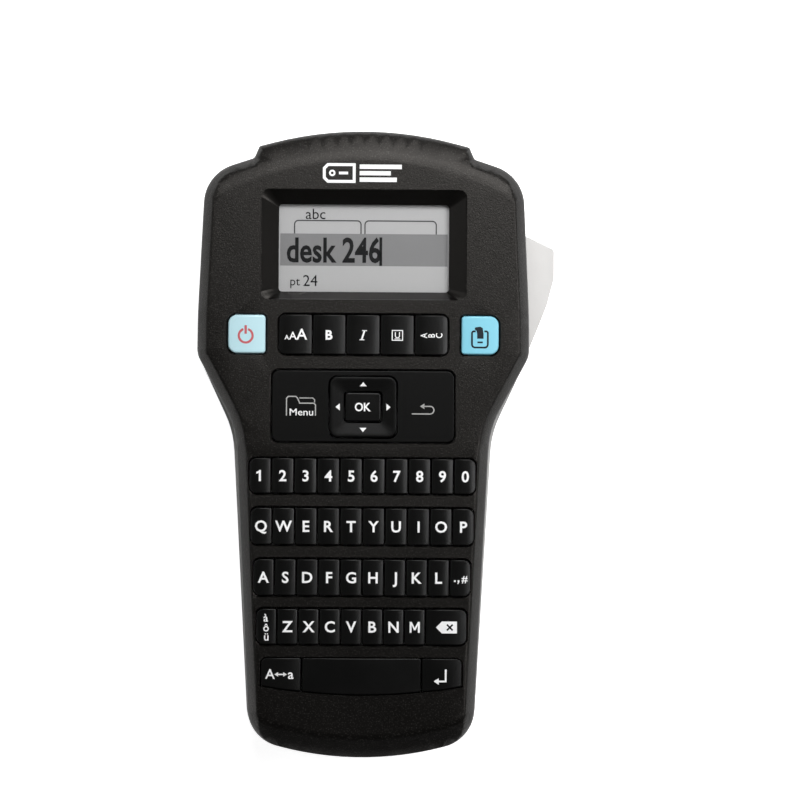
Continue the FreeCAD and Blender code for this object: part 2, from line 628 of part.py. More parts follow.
def mechanism_frame():
    plate = prism(rounded(-47.0, 36.5, 28.5, 86.5, (3, 3, 3, 3)), PLATE_Z[0], PLATE_Z[1])
    posts = [rod(x, y, WALL, PLATE_Z[0], 1.8) for x, y in ((-45.2, 33.0), (-45.2, 78.0), (24.5, 30.8), (24.0, 76.0))]
    frame = fuse([plate] + posts)
    for axis in (PLATEN_AXIS, MOTOR_AXIS):
        frame = frame.cut(rod(axis[0], axis[1], 22, 25, 1.06))
    frame = frame.cut(rod(RIBBON_AXIS[0], RIBBON_AXIS[1], 22, 25, 1.86))
    frame = frame.cut(rod(IDLER_AXIS[0], IDLER_AXIS[1], 22, 25, 1.0))
    return frame


export(mechanism_frame(), "mechanism_frame")
export(rod(MOTOR_AXIS[0], MOTOR_AXIS[1], 4.5, PLATE_Z[0], 7.4).cut(
    rod(MOTOR_AXIS[0], MOTOR_AXIS[1], 19.0, 23.0, 1.06)), "drive_motor")
pinion = gear(PINION_TEETH, GEAR_LOW[0], GEAR_LOW[1], pinion_phase, MOTOR_AXIS)
export(pinion.fuse(rod(MOTOR_AXIS[0], MOTOR_AXIS[1], 19.2, 27.2, 1.0)), "motor_pinion")
idler = gear(IDLER_TEETH, GEAR_LOW[0], GEAR_LOW[1], idler_phase, IDLER_AXIS)
idler_small = gear(IDLER_SMALL_TEETH, GEAR_LOW[1], GEAR_HIGH[1], idler_phase, IDLER_AXIS)
export(idler.fuse(idler_small).cut(rod(IDLER_AXIS[0], IDLER_AXIS[1], 20, 30, 1.05)), "idler_gear")
export(rod(IDLER_AXIS[0], IDLER_AXIS[1], PLATE_Z[0], 29.0, 1.0), "gear_pin")
platen = gear(PLATEN_TEETH, GEAR_HIGH[0], GEAR_HIGH[1], PLATEN_PHASE, PLATEN_AXIS)
export(platen.fuse(rod(PLATEN_AXIS[0], PLATEN_AXIS[1], 3.2, 29.0, 1.0)), "platen_gear")
export(rod(PLATEN_AXIS[0], PLATEN_AXIS[1], 5.6, 20.4, 3.5).cut(
    rod(PLATEN_AXIS[0], PLATEN_AXIS[1], 5, 21, 1.0)), "platen_roller")
ribbon = gear(RIBBON_TEETH, GEAR_HIGH[0], GEAR_HIGH[1], ribbon_phase, RIBBON_AXIS)
splines = [box(RIBBON_AXIS[0] - 2.4, RIBBON_AXIS[0] + 2.4, RIBBON_AXIS[1] - 0.35, RIBBON_AXIS[1] + 0.35, 6.0, 18.0),
           box(RIBBON_AXIS[0] - 0.35, RIBBON_AXIS[0] + 0.35, RIBBON_AXIS[1] - 2.4, RIBBON_AXIS[1] + 2.4, 6.0, 18.0)]
export(fuse([ribbon, rod(RIBBON_AXIS[0], RIBBON_AXIS[1], 6.0, GEAR_HIGH[1], 1.8)] + splines), "ribbon_spindle")
export(box(16.2, 18.2, 54.6, 65.4, 5.0, PLATE_Z[0]).fuse(box(18.2, 18.9, 58.5, 61.5, 6.0, 20.0)), "print_head")


# Label cassette with its reel and the free end of the tape
def label_cassette():
    case = prism(rounded(-41.5, 18.5, 30.0, 80.0, (3, 3, 3, 3)), 3.4, 21.9)
    notch = box(15.4, 25, 53.4, 67.0, 0, 30)
    lining = box(14.2, 25, 52.2, 68.2, 0, 30)
    cavity = prism(rounded(-41.5, 18.5, 30.0, 80.0, (3, 3, 3, 3)), 4.6, 20.7, 1.2).cut(lining)
    return case.cut(notch).cut(cavity).cut(rod(RIBBON_AXIS[0], RIBBON_AXIS[1], 0, 30, 2.9))


export(label_cassette(), "label_cassette")
REEL_AXIS = (-21.0, 56.0)
reel = rod(REEL_AXIS[0], REEL_AXIS[1], 5.2, 20.2, 17.0).cut(rod(REEL_AXIS[0], REEL_AXIS[1], 5, 21, 6.0))
export(reel, "tape_reel")
export(box(19.15, 19.45, 50.0, 83.2, 5.6, 17.6), "label_tape")

# Cutter: a lever through the right wall pushes a blade carrier across the tape's path
LEVER_Z = (9.0, 21.6)


def cutter_lever():
    """Outer paddle, inner spine and finger round one pivot; the paddle's upper edge is an arc about the pivot."""
    px, py = LEVER_PIVOT
    paddle = [(47.0, 30.5, 1.0), (53.9, 29.4, 1.0), (55.9, 32.8, 3.0), (59.2, 41.0, 8.0), (61.5, 47.0, 8.0),
              (63.8, 55.9, 5.0), (63.8, 65.4, 1.4), (53.9, 70.2, 2.0), (47.0, 72.5, 1.0)]
    blade_arm = [(47.0, 60.0, 1.0), (50.6, 60.0, 1.0), (49.0, 80.0, 1.0), (45.6, 86.4, 1.0), (42.1, 86.4, 0.5),
                 (42.1, 80.4, 1.0), (44.5, 78.0, 2.0)]
    heel = [(36.0, 26.0, 1.0), (40.0, 22.0, 1.0), (47.5, 27.0, 1.5), (52.0, 31.5, 1.0), (50.5, 36.0, 1.0),
            (46.0, 33.0, 2.0), (40.0, 30.0, 1.0)]
    solid = prism(paddle, LEVER_Z[0], LEVER_Z[1])
    reach = 46.1
    keep = rod(px, py, 0, 40, reach).fuse(box(px - 5, px + 11, py, py + 70, 0, 40))
    solid = solid.common(keep)
    window = box(40, 51.4, 36.0, 68.0, LEVER_Z[0] - 1, LEVER_Z[1] + 1).cut(box(47.0, 51.4, 52.0, 68.0, 0, 40))
    solid = fuse([solid.cut(window), prism(blade_arm, LEVER_Z[0], LEVER_Z[1]), prism(heel, LEVER_Z[0], LEVER_Z[1]),
                  rod(px, py, LEVER_Z[0], LEVER_Z[1], 4.0)])
    hollow = prism(paddle, LEVER_Z[0] + 2.0, LEVER_Z[1] - 2.0, 2.2).cut(box(40, 54.6, 20, 90, 0, 40))
    return solid.cut(hollow).cut(rod(px, py, 0, 40, 1.56)).removeSplitter()


export(cutter_lever(), "cutter_lever")
export(rod(LEVER_PIVOT[0], LEVER_PIVOT[1], 3.0, 25.0, 1.5), "lever_pin")


def lever_spring():
    """Compression spring along X between the shell's rib and the lever's spine."""
    wire_r = 0.25
    coil = Part.makeHelix(1.4, 6.9, 2.2)
    coil.rotate(V(0, 0, 0), V(0, 1, 0), 90)
    coil.translate(V(39.8, 56.0, 15.0))
    start = coil.Vertexes[0].Point
    profile = Part.Wire(Part.makeCircle(wire_r, start, coil.Edges[0].tangentAt(coil.Edges[0].FirstParameter)))
    return Part.Wire(coil.Edges).makePipeShell([profile], True, True)


export(lever_spring(), "lever_spring")
carrier = box(30.0, 41.5, 83.0, 86.0, 9.0, 21.0).cut(box(29.0, 34.5, 84.0, 85.0, 8.0, 22.0))
export(carrier, "cutter_carrier")
blade = box(24.5, 34.4, 84.1, 84.9, 7.0, 21.4)
bevel = Part.Face(Part.makePolygon([V(24.4, 84.0, 6), V(25.9, 84.0, 6), V(24.4, 84.55, 6), V(24.4, 84.0, 6)]))
export(blade.cut(bevel.extrude(V(0, 0, 17))), "cutter_blade")
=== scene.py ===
"""Hand-held label maker: the finishes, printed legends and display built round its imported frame.

X runs to the right, Y towards the label exit and Z out of the keyboard face. The frame is in metres, and the
flat shapes of legends and display are worked out in millimetres and brought to metres as they are placed.
"""

import json
import math

import bmesh
import bpy
import numpy as np
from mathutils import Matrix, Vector
from mathutils.geometry import tessellate_polygon

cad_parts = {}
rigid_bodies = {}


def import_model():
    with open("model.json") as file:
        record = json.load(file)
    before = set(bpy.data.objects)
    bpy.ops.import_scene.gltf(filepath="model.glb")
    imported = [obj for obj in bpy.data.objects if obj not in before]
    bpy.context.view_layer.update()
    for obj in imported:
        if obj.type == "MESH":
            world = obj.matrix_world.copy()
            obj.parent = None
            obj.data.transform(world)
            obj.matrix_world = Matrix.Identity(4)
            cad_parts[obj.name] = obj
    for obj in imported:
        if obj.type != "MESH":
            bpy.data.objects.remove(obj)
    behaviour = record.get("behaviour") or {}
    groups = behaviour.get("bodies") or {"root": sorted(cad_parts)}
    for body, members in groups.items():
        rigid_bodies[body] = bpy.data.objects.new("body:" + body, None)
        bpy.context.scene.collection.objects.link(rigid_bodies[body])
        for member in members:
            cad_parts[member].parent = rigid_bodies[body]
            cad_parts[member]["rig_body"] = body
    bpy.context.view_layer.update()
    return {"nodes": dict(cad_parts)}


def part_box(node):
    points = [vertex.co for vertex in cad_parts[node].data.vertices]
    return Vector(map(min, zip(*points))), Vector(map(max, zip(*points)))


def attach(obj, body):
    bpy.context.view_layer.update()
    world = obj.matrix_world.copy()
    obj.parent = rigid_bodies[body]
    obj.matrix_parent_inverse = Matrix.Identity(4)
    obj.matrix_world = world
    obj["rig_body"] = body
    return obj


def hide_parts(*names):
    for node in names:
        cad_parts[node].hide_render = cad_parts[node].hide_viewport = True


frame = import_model()
MM = 0.001


# ---------------------------------------------------------------- Shader arithmetic and the table top
# The label maker lies on its back on a plain white table. Its finishes are written as arithmetic on values
# that vary over a surface, and the table's is the first of them.
class Value:
    """A number or colour that varies over a surface; arithmetic on it adds Math nodes to its finish."""

    def __init__(self, finish, socket):
        self.finish = finish
        self.socket = socket

    def math(self, operation, first, second):
        return self.finish.node("Math", {"operation": operation}, {0: first, 1: second})

    def __add__(self, other):
        return self.math("ADD", self, other)

    def __sub__(self, other):
        return self.math("SUBTRACT", self, other)

    def __rsub__(self, other):
        return self.math("SUBTRACT", other, self)

    def __mul__(self, other):
        return self.math("MULTIPLY", self, other)

    def __truediv__(self, other):
        return self.math("DIVIDE", self, other)

    def __abs__(self):
        return self.math("ABSOLUTE", self, 0.0)

    __radd__ = __add__
    __rmul__ = __mul__


class Finish:
    """A material in the making. node() adds any node, and plastic() closes it with a shader."""

    def __init__(self, name):
        self.material = bpy.data.materials.new(name)
        self.material.use_nodes = True
        self.tree = self.material.node_tree
        self.tree.nodes.clear()
        self.place = self.node("TexCoord", {}, {}, "Object")

    def node(self, kind, settings, values, out=0):
        """A node of that type: its settings first, then a value or a link for each socket."""
        made = self.tree.nodes.new("ShaderNode" + kind)
        for key, setting in settings.items():
            setattr(made, key, setting)
        for key, value in values.items():
            if isinstance(value, Value):
                self.tree.links.new(value.socket, made.inputs[key])
            else:
                made.inputs[key].default_value = value
        return Value(self, made.outputs[out])

    def axis(self, name):
        """One object coordinate in metres."""
        return self.node("SeparateXYZ", {}, {0: self.place}, name)

    def noise(self, size, detail=2.0, stretch=(1.0, 1.0, 1.0)):
        """Noise from 0 to 1 whose patches are about size metres across, longer where stretch is below 1."""
        vector = self.place
        if stretch != (1.0, 1.0, 1.0):
            vector = self.node("Mapping", {}, {"Vector": self.place, "Scale": stretch})
        return self.node("TexNoise", {}, {"Vector": vector, "Scale": 1 / size, "Detail": detail}, "Fac")

    def ramp(self, value, start, end, low=0.0, high=1.0):
        """low where value is under start, high where it is over end, and an S curve between."""
        return self.node("MapRange", {"interpolation_type": "SMOOTHSTEP"},
                         {0: value, 1: start, 2: end, 3: low, 4: high})

    def mix(self, share, first, second):
        """Colour from first to second as share goes from 0 to 1."""
        solid = [c if isinstance(c, Value) else (*c, 1.0) for c in (first, second)]
        return self.node("Mix", {"data_type": "RGBA"}, {0: share, 6: solid[0], 7: solid[1]}, 2)

    def relief(self, height, depth, strength=1.0):
        """Normal of a surface with hills of height times depth metres."""
        return self.node("Bump", {}, {"Height": height, "Distance": depth, "Strength": strength})

    def close(self, shader):
        output = self.tree.nodes.new("ShaderNodeOutputMaterial")
        self.tree.links.new(shader.socket, output.inputs["Surface"])
        return self.material

    def plastic(self, colour, roughness, **sockets):
        """The finished material: one Principled shader. Socket names are given with _ for a space."""
        colour = colour if isinstance(colour, Value) else (*colour, 1.0)
        values = {"Base Color": colour, "Roughness": roughness}
        values.update({key.replace("_", " "): value for key, value in sockets.items()})
        return self.close(self.node("BsdfPrincipled", {}, values))


def grid_faces(rows, columns, wrap=False):
    """Quads of a grid of rows x columns points; wrap joins each row's last column to its first."""
    r, c = np.meshgrid(np.arange(rows - 1), np.arange(columns if wrap else columns - 1), indexing="ij")
    here, right = r * columns + c, r * columns + (c + 1) % columns
    return np.stack([here, right, right + columns, here + columns], -1).reshape(-1, 4)


def new_piece(name, points, faces, material):
    """A mesh piece at the origin from an array of points in metres and lists of corner numbers."""
    mesh = bpy.data.meshes.new(name)
    mesh.from_pydata(np.asarray(points, float).tolist(), [], [list(map(int, f)) for f in faces])
    mesh.materials.append(material)
    piece = bpy.data.objects.new(name, mesh)
    bpy.context.scene.collection.objects.link(piece)
    return piece


TABLE_HALF = 2.5
TABLE_DROP = 0.0002
laminate = Finish("white_laminate")
laminate_shade = laminate.mix(laminate.noise(0.4, 3.0), (0.90, 0.90, 0.90), (0.94, 0.94, 0.94))
seen = laminate.node("LightPath", {}, {}, 0)  # 1 where the camera sees the table, 0 in reflections
glow = laminate.mix(seen, (0.35, 0.35, 0.35), (1.0, 1.0, 1.0))
corners = np.array([(-1, -1, 0), (1, -1, 0), (1, 1, 0), (-1, 1, 0)]) * TABLE_HALF
table = new_piece("table_top", corners - (0, 0, TABLE_DROP), [(0, 1, 2, 3)],
                  laminate.plastic(laminate_shade, 0.6, Specular_IOR_Level=0.2,
                                   Emission_Color=glow, Emission_Strength=0.8))


# ---------------------------------------------------------------- Camera and lamps
# A long lens looks straight down on the keyboard from 1.2 m, a degree from the left. A small lamp close
# beyond the hood and one higher at its right light the face, and a faint wide fill comes from the left.
FRAME_WIDTH = 0.2624
LENS_HEIGHT = 1.2
SENSOR = 36.0
LOOK_AT = (0.0121, 0.0147, 0.046)
LEAN = math.radians(1.0)
ROLL = math.radians(0.37)

camera_data = bpy.data.cameras.new("camera")
camera_data.sensor_width = SENSOR
camera_data.lens = SENSOR * LENS_HEIGHT / FRAME_WIDTH
camera_data.clip_end = 20
camera = bpy.data.objects.new("camera", camera_data)
bpy.context.scene.collection.objects.link(camera)
camera.location = Vector(LOOK_AT) + LENS_HEIGHT * Vector((-math.sin(LEAN), 0, math.cos(LEAN)))
camera.rotation_euler = (0, -LEAN, ROLL)
bpy.context.scene.camera = camera


def lamp(name, place, size, power, aim=(0.0, 0.0, 0.04)):
    """Square softbox at place, facing aim."""
    data = bpy.data.lights.new(name, "AREA")
    data.size = size
    data.energy = power
    made = bpy.data.objects.new(name, data)
    bpy.context.scene.collection.objects.link(made)
    made.location = place
    made.rotation_euler = (Vector(aim) - Vector(place)).to_track_quat("-Z", "Y").to_euler()
    made.visible_camera = False


lamp("key_lamp", (0.07, 0.32, 0.43), 0.34, 2.55, (0.02, 0.06, 0.04))
lamp("side_lamp", (0.60, 0.10, 0.66), 0.36, 3.0)
lamp("fill_lamp", (-1.2, 0.5, 0.8), 1.0, 3.0)
world = bpy.data.worlds.new("studio")
world.use_nodes = True
world.node_tree.nodes["Background"].inputs["Color"].default_value = (1.0, 1.0, 1.0, 1.0)
world.node_tree.nodes["Background"].inputs["Strength"].default_value = 0.07
bpy.context.scene.world = world
bpy.context.scene.view_settings.view_transform = "Standard"


# ---------------------------------------------------------------- Front shell
# Black ABS moulded in one piece, with a fine spark-eroded texture outside and a smoother display recess.
# Long use has burnished it in faint patches.
def smooth_copy(node, kind, material, crease=24.0):
    """Stands a piece in for a CAD node: its own triangles with shared corners merged, rounded where faces
    meet at less than crease degrees, and with normals weighted by area so that flats stay flat."""
    source = frame["nodes"][node]
    mesh = bpy.data.meshes.new(f"{node}_{kind}")
    joined = bmesh.new()
    joined.from_mesh(source.data)
    bmesh.ops.remove_doubles(joined, verts=joined.verts, dist=1e-6)
    joined.to_mesh(mesh)
    joined.free()
    mesh.materials.clear()
    mesh.materials.append(material)
    mesh.shade_smooth()
    mesh.set_sharp_from_angle(angle=math.radians(crease))
    piece = bpy.data.objects.new(mesh.name, mesh)
    bpy.context.scene.collection.objects.link(piece)
    weighted = piece.modifiers.new("flats_stay_flat", "WEIGHTED_NORMAL")
    weighted.keep_sharp = True
    weighted.weight = 80
    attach(piece, source["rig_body"])
    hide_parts(node)
    return piece


RECESS = (0.0335, 0.0478, 0.0837, 0.0457)  # half width, lower edge, upper edge, height it starts under
shell = Finish("black_textured_abs")
grain = shell.noise(0.00042, 1.0) + 0.4 * shell.noise(0.0002, 0.0)
across, along, height = (shell.axis(name) for name in "XYZ")
RECESS_EDGE = 0.0004
in_recess = (shell.ramp(abs(across), RECESS[0] + RECESS_EDGE, RECESS[0])
             * shell.ramp(along, RECESS[1] - RECESS_EDGE, RECESS[1])
             * shell.ramp(along, RECESS[2] + RECESS_EDGE, RECESS[2])
             * shell.ramp(height, RECESS[3] + RECESS_EDGE / 2, RECESS[3]))
textured = 1.0 - in_recess
burnish = shell.ramp(shell.noise(0.035, 2.0), 0.35, 0.7)
heel_wear = shell.ramp(along, -0.005, -0.095)
speck = shell.ramp(shell.noise(0.0004, 0.0), 0.62, 0.74)
shell_colour = shell.mix(speck * 0.7 * textured, (0.0020, 0.0018, 0.0016), (0.032, 0.031, 0.029))
shell_roughness = 0.41 - burnish * 0.04 - in_recess * 0.05 - heel_wear * 0.08
black_abs = shell.plastic(shell_colour, shell_roughness, Specular_IOR_Level=0.29,
                          Specular_Tint=(1.0, 0.95, 0.9, 1.0),
                          Normal=shell.relief(grain * textured, 0.00007, 1.0))
smooth_copy("front_shell", "moulding", black_abs)


# ---------------------------------------------------------------- Rear shell
# Pale grey ABS tray with the same fine texture, which shows as a thin rim round the black front when seen
# from above and makes the whole of the back.
tray = Finish("pale_grey_abs")
tray_grain = tray.noise(0.0005, 2.0)
tray_colour = tray.mix(tray.noise(0.02, 3.0), (0.60, 0.60, 0.585), (0.66, 0.66, 0.65))
grey_abs = tray.plastic(tray_colour, 0.5 + tray_grain * 0.08, Specular_IOR_Level=0.4,
                        Normal=tray.relief(tray_grain, 0.00005, 0.6))
smooth_copy("rear_shell", "moulding", grey_abs)


# ---------------------------------------------------------------- Cassette door and battery cover
# Two thin plates of the rear shell's own grey plastic: the door swings on moulded pins, and the cover
# slides off the heel. Each carries a raised arrow that says which way it opens.
def filled(points):
    """Flat shape inside a line of corners, as (corners, triangles), turned to face up."""
    points = np.array(points, float)
    triangles = np.array(tessellate_polygon([[Vector((x, y, 0)) for x, y in points]]))
    a, b, c = (points[triangles[:, k]] for k in range(3))
    turned = (b - a)[:, 0] * (c - a)[:, 1] - (b - a)[:, 1] * (c - a)[:, 0] < 0
    triangles[turned] = triangles[turned][:, ::-1]
    return points, triangles


def thickened(flat, surface, proud, deep):
    """Closed thin solid from a flat shape in millimetres: its upper side lies proud of surface(x, y), its
    underside deep below it, and a wall closes every edge that only one triangle has."""
    points, triangles = flat
    count = len(points)
    level = surface(points[:, 0], points[:, 1])
    upper = np.column_stack([points, level + proud])
    lower = np.column_stack([points, level - deep])
    start = triangles[:, [0, 1, 2]].ravel()
    end = triangles[:, [1, 2, 0]].ravel()
    free = ~np.isin(start * count + end, end * count + start)
    walls = np.column_stack([start, start + count, end + count, end])[free]
    faces = [*triangles, *(triangles[:, ::-1] + count), *walls]
    return np.vstack([upper, lower]) * MM, faces


def raised(name, flats, surface, material, slot, body, proud=0.03, deep=0.12):
    """One piece from several flat shapes, lifted onto a surface and riding on a body."""
    points, faces, first = [], [], 0
    for flat in flats:
        more, new_faces = thickened(flat, surface, proud, deep)
        points.append(more)
        faces += [np.asarray(f) + first for f in new_faces]
        first += len(more)
    piece = new_piece(name, np.vstack(points), faces, material)
    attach(piece, body)
    return piece


def flat_at(z):
    """Level surface z millimetres up."""
    return lambda x, y: np.full(np.shape(x), float(z))


ARROW = np.array([(0, 3.4), (-3.0, -0.4), (-1.1, -0.4), (-1.1, -3.4), (1.1, -3.4), (1.1, -0.4), (3.0, -0.4)])
smooth_copy("cassette_door", "moulding", grey_abs)
smooth_copy("battery_cover", "moulding", grey_abs)
PLATE_FACE = 0.3
for name, body, middle, turn in (("door_arrow", "cassette_door", (-11.25, 70.0), 1),
                                 ("cover_arrow", "battery_cover", (0.0, -82.0), -1)):
    raised(name, [filled(ARROW * turn + middle)], flat_at(PLATE_FACE), grey_abs, "grey_shell", body,
           0.1, 0.12)


# ---------------------------------------------------------------- Case screws and lever pin
# Six zinc-plated self-tapping screws hold the shells together from the back, and a ground steel pin carries
# the cutter lever.
plated = Finish("zinc_plated_steel")
turning = plated.noise(0.0012, 3.0, (1.0, 1.0, 0.08))
plated_colour = plated.mix(turning, (0.50, 0.50, 0.50), (0.66, 0.66, 0.64))
plated_steel = plated.plastic(plated_colour, 0.22 + turning * 0.2, Metallic=1.0)
for node in ("case_screws", "lever_pin", "gear_pin", "battery_contacts"):
    smooth_copy(node, "metal", plated_steel)


# ---------------------------------------------------------------- Circuit board, keypad mat and power inlet
# A green board with its tracks under solder mask, a silicone sheet of collapsing domes, and a black inlet.
mask = Finish("green_solder_mask")
tracks = mask.node("TexBrick", {"offset": 0.5},
                   {"Vector": mask.place, "Scale": 260.0, "Mortar Size": 0.03, "Row Height": 0.35}, "Fac")
board_colour = mask.mix(tracks, (0.010, 0.085, 0.035), (0.030, 0.20, 0.085))
smooth_copy("main_board", "laminate", mask.plastic(board_colour, 0.35))

silicone = Finish("grey_silicone")
bloom = silicone.noise(0.004, 4.0)
silicone_colour = silicone.mix(bloom, (0.10, 0.10, 0.105), (0.14, 0.14, 0.14))
smooth_copy("keypad_mat", "sheet", silicone.plastic(silicone_colour, 0.62 + bloom * 0.1))

moulded = Finish("black_moulded_plastic")
flow = moulded.noise(0.006, 3.0)
dark_colour = moulded.mix(flow, (0.012, 0.012, 0.012), (0.022, 0.022, 0.022))
dark_plastic = moulded.plastic(dark_colour, 0.38 + flow * 0.1)
for node in ("power_jack", "lcd_frame"):
    smooth_copy(node, "moulding", dark_plastic)


# ---------------------------------------------------------------- Display glass
# A reflective monochrome liquid-crystal cell: pale grey behind, with everything it shows as dark cells. Its
# grey is painted lighter towards the upper edge of the glass, a painted sheen standing in for a reflection of
# the lamps.
glass = Finish("grey_display_glass")
cells = glass.noise(0.00035, 0.0)
# painted sheen: the glass grey is painted lighter from 50 mm to 80 mm up the display, a painted reflection
# over the fine cell mottle
painted_sheen = glass.ramp(glass.axis("Y"), 0.050, 0.080)
glass_tone_and_painted_sheen = glass.mix(cells * 0.25 + painted_sheen * 0.35, (0.495, 0.495, 0.495), (0.520, 0.520, 0.525))
smooth_copy("lcd_glass", "cell", glass.plastic(glass_tone_and_painted_sheen, 0.3, Specular_IOR_Level=0.3))


# ---------------------------------------------------------------- What the display shows
# A text line on a darker band with its cursor, two tab outlines above it, and small notes of typeface and
# size. The words are plain example text.
def arc_points(x, y, radius, start, end, steps=12):
    """Points on a circle from one angle to another, in degrees."""
    angle = np.radians(np.linspace(start, end, steps))
    return np.column_stack([x + radius * np.cos(angle), y + radius * np.sin(angle)])


def stroke(points, width, closed=False):
    """Flat band along a line of corners: each corner moves both ways along its mitre, by half the width
    over the cosine of half the turn there."""
    line = np.array(points, float)
    past_end = 2 * line[-1:] - line[-2:-1]
    ahead = np.roll(line, -1, 0) - line if closed else np.diff(line, axis=0, append=past_end)
    back = np.roll(ahead, 1, 0)
    if not closed:
        back[0] = ahead[0]
    sides = [np.column_stack([-d[:, 1], d[:, 0]]) / np.linalg.norm(d, axis=1)[:, None] for d in (back, ahead)]
    mitre = sides[0] + sides[1]
    mitre /= np.linalg.norm(mitre, axis=1)[:, None]
    reach = width / 2 / np.clip((mitre * sides[1]).sum(1), 0.35, 1)[:, None]
    edge = np.vstack([line - mitre * reach, line + mitre * reach])
    quads = grid_faces(2, len(line), closed)
    return edge, np.vstack([quads[:, [0, 1, 2]], quads[:, [0, 2, 3]]])


def rectangle(x0, x1, y0, y1):
    """Flat rectangle."""
    return filled([(x0, y0), (x1, y0), (x1, y1), (x0, y1)])


def shape_of(text, weight, slant=0.0):
    """A text's flat outline, filled, in units of the type's size: its corners and its triangles."""
    curve = bpy.data.curves.new("type", "FONT")
    curve.body = text
    curve.offset = weight
    curve.shear = slant
    curve.resolution_u = 3
    holder = bpy.data.objects.new("type", curve)
    bpy.context.scene.collection.objects.link(holder)
    mesh = bpy.data.meshes.new_from_object(holder.evaluated_get(bpy.context.evaluated_depsgraph_get()))
    mesh.calc_loop_triangles()
    points = np.empty(len(mesh.vertices) * 3)
    mesh.vertices.foreach_get("co", points)
    triangles = np.empty(len(mesh.loop_triangles) * 3, int)
    mesh.loop_triangles.foreach_get("vertices", triangles)
    bpy.data.objects.remove(holder)
    bpy.data.curves.remove(curve)
    bpy.data.meshes.remove(mesh)
    return points.reshape(-1, 3)[:, :2], triangles.reshape(-1, 3)


CAPITAL = np.ptp(shape_of("H", 0.0)[0][:, 1])


def lettering(text, cap, x, y, weight=0.012, widen=1.0, turn=0.0, slant=0.0):
    """Flat text with capitals cap millimetres high, its ink centred on x and its capitals on y."""
    points, triangles = shape_of(text, weight, slant)
    points = points * cap / CAPITAL * (widen, 1.0)
    middle = (points[:, 0].min() + points[:, 0].max()) / 2
    points = points - (middle, cap / 2)
    c, s = math.cos(turn), math.sin(turn)
    points = points @ np.array([(c, s), (-s, c)]) + (x, y)
    a, b, d = (points[triangles[:, k]] for k in range(3))
    turned = (b - a)[:, 0] * (d - a)[:, 1] - (b - a)[:, 1] * (d - a)[:, 0] < 0
    triangles[turned] = triangles[turned][:, ::-1]
    return points, triangles


def ink(name, tone, roughness=0.5):
    """A matt ink with a little unevenness."""
    made = Finish(name)
    low = tuple(c * 0.93 for c in tone)
    return made.plastic(made.mix(made.noise(0.0008, 2.0), low, tone), roughness, Specular_IOR_Level=0.2)


LCD_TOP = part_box("lcd_glass")[1].z / MM
on_glass = dict(surface=flat_at(LCD_TOP), slot="display", body="root", deep=0.02)
BAND = (58.9, 69.5)
TABS = ((-22.9, -1.0), (0.3, 23.8))
TAB_TOP = 73.8
TAB_ROUND = 1.3
dim_cells = ink("dim_cells", (0.265, 0.265, 0.268), 0.35)
raised("display_band", [rectangle(-27.6, 27.6, *BAND)], material=dim_cells, proud=0.02, **on_glass)
tabs = [stroke([(x0, BAND[1]), *arc_points(x0 + TAB_ROUND, TAB_TOP - TAB_ROUND, TAB_ROUND, 180, 90),
                *arc_points(x1 - TAB_ROUND, TAB_TOP - TAB_ROUND, TAB_ROUND, 90, 0), (x1, BAND[1])], 0.42)
        for x0, x1 in TABS]
raised("display_tabs", tabs, material=ink("grey_cells", (0.075, 0.075, 0.076), 0.35), proud=0.04, **on_glass)
words = [lettering("desk 246", 7.75, -9.9, 60.2 + 7.75 / 2, 0.022, 0.76), rectangle(5.1, 6.0, 59.0, 68.4),
         lettering("abc", 3.4, -16.0, 76.0, 0.0, 1.0), lettering("pt", 2.8, -22.6, 53.8, 0.0, 1.0),
         lettering("24", 3.6, -17.6, 54.0, 0.0, 0.95)]
raised("display_words", words, material=ink("dark_cells", (0.004, 0.004, 0.005), 0.4), proud=0.06, **on_glass)


# ---------------------------------------------------------------- Display window
# A clear acrylic pane behind the front shell's opening, hard-coated and almost free of reflections.
pane = Finish("clear_acrylic")
gloss = pane.node("BsdfAnisotropic", {}, {"Color": (1, 1, 1, 1), "Roughness": 0.03})
clear = pane.node("BsdfTransparent", {}, {"Color": (0.985, 0.985, 0.985, 1)})
share = pane.node("Fresnel", {}, {"IOR": 1.38}) * 0.8
acrylic = pane.close(pane.node("MixShader", {}, {0: share, 1: clear, 2: gloss}))
smooth_copy("display_window", "pane", acrylic)


# ---------------------------------------------------------------- Keys
# Black ABS caps with a satin, finely matted top, one to a place, crowned from side to side and a little
# proud of the face. The menu and back rocker and the four-way ring are duller than the caps.
cap_finish = Finish("satin_black_cap")
matting = cap_finish.noise(0.00022, 1.0)
touch = cap_finish.ramp(cap_finish.noise(0.012, 2.0), 0.35, 0.7)
cap_colour = cap_finish.mix(matting, (0.0016, 0.0016, 0.0016), (0.0040, 0.0040, 0.0038))
black_cap = cap_finish.plastic(cap_colour, 0.33 - touch * 0.05, Specular_IOR_Level=0.22,
                               Normal=cap_finish.relief(matting, 0.00003, 0.5))
digit_names = [f"digit_{(i + 1) % 10}_key" for i in range(10)]
format_names = ["size_key", "bold_key", "italic_key", "border_key", "symbol_key"]
black_keys = [*digit_names, *format_names, "letter_keys_q_row", "letter_keys_a_row", "letter_keys_z_row",
              "punctuation_key", "accent_key", "backspace_key", "caps_key", "space_bar", "enter_key",
              "ok_key"]
for node in black_keys:
    smooth_copy(node, "cap", black_cap, 20.0)
pad = Finish("matt_black_pad")
pad_matting = pad.noise(0.00022, 1.0)
pad_colour = pad.mix(pad_matting, (0.0012, 0.0012, 0.0012), (0.0034, 0.0034, 0.0032))
matt_pad = pad.plastic(pad_colour, 0.37 + pad_matting * 0.04, Specular_IOR_Level=0.15,
                       Normal=pad.relief(pad_matting, 0.00003, 0.5))
for node in ("menu_back_rocker", "nav_ring", "nav_hub"):
    smooth_copy(node, "pad", matt_pad, 20.0)


